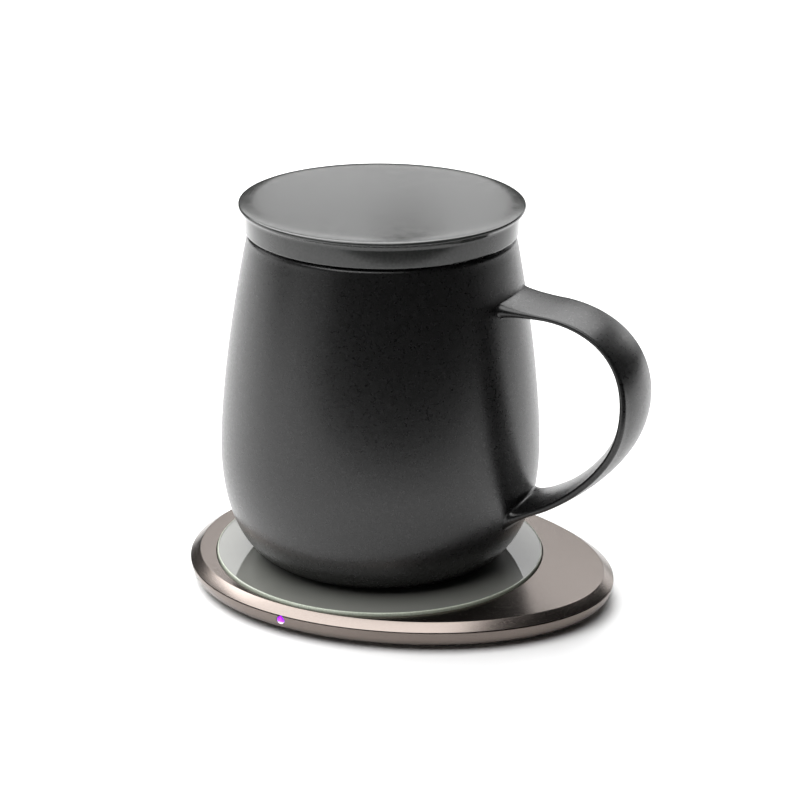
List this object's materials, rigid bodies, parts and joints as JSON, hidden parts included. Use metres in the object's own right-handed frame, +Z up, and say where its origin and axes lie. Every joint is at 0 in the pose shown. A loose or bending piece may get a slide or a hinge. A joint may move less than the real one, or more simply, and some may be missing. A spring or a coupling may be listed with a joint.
{
  "type": "self heating mug",
  "caption": "Ceramic mug with strap handle and lid on a flat egg-shaped induction warming base with a round glass plate and a small status light.",
  "frame": {"origin": "on the mug's axis, on the surface that the base's foot mat stands on", "axes": "+Z up along the mug's axis, +X along the mug's handle and the long end of the base"},
  "size_m": [0.1306, 0.0992, 0.1105],
  "materials": {
    "mug_glaze": "satin black glaze",
    "lid_glaze": "glossy dark grey glaze",
    "fired_silver": "matte fired metal film",
    "anodised": "champagne satin anodised",
    "lower_shell": "champagne metallic paint",
    "dark_glass": "polished, painted dark behind",
    "silicone": "matte",
    "adhesive": "matte",
    "mica": "flaky sheet",
    "copper": "lacquered stranded copper wire",
    "ferrite": "sintered",
    "nylon": "moulded",
    "part_ceramic": "matte",
    "flat_cable": "polyimide film",
    "board": "solder mask",
    "epoxy": "moulded epoxy",
    "tin": "tinned",
    "steel": "nickelled",
    "violet_lens": "clear light pipe, lit violet",
    "light_chip": "phosphor"
  },
  "bodies": {
    "warming_base": {"upper_housing": "anodised", "lower_housing": "lower_shell", "foot_mat": "silicone", "glass_plate": "dark_glass", "glass_adhesive": "adhesive", "insulation_sheet": "mica", "induction_coil": "copper", "ferrite_shield": "ferrite", "coil_carrier": "nylon", "temperature_sensor": "part_ceramic", "sensor_sleeve": "silicone", "sensor_tail": "flat_cable", "circuit_board": "board", "controller_chip": "epoxy", "coil_terminal_1": "tin", "coil_terminal_2": "tin", "power_switch_1": "epoxy", "power_switch_2": "epoxy", "tank_capacitor_1": "part_ceramic", "tank_capacitor_2": "part_ceramic", "tank_capacitor_3": "part_ceramic", "filter_inductor": "ferrite", "input_capacitor_1": "part_ceramic", "input_capacitor_2": "part_ceramic", "usb_c_shell": "steel", "usb_c_tongue": "epoxy", "indicator_lens": "violet_lens", "indicator_led": "light_chip", "indicator_board": "board", "indicator_tail": "flat_cable", "board_screw_1": "steel", "board_screw_2": "steel", "case_screw_1": "steel", "case_screw_2": "steel", "case_screw_3": "steel", "case_screw_4": "steel"},
    "mug": {"mug_body": "mug_glaze", "mug_handle": "mug_glaze", "heating_film": "fired_silver"},
    "lid": {"lid": "lid_glaze"}
  },
  "joints": [
    {"name": "mug_lift", "type": "slide", "parent": "warming_base", "child": "mug", "axis": [0, 0, 1], "range_m": [0, 0.08]},
    {"name": "lid_lift", "type": "slide", "parent": "mug", "child": "lid", "axis": [0, 0, 1], "range_m": [0, 0.06]}
  ]
}
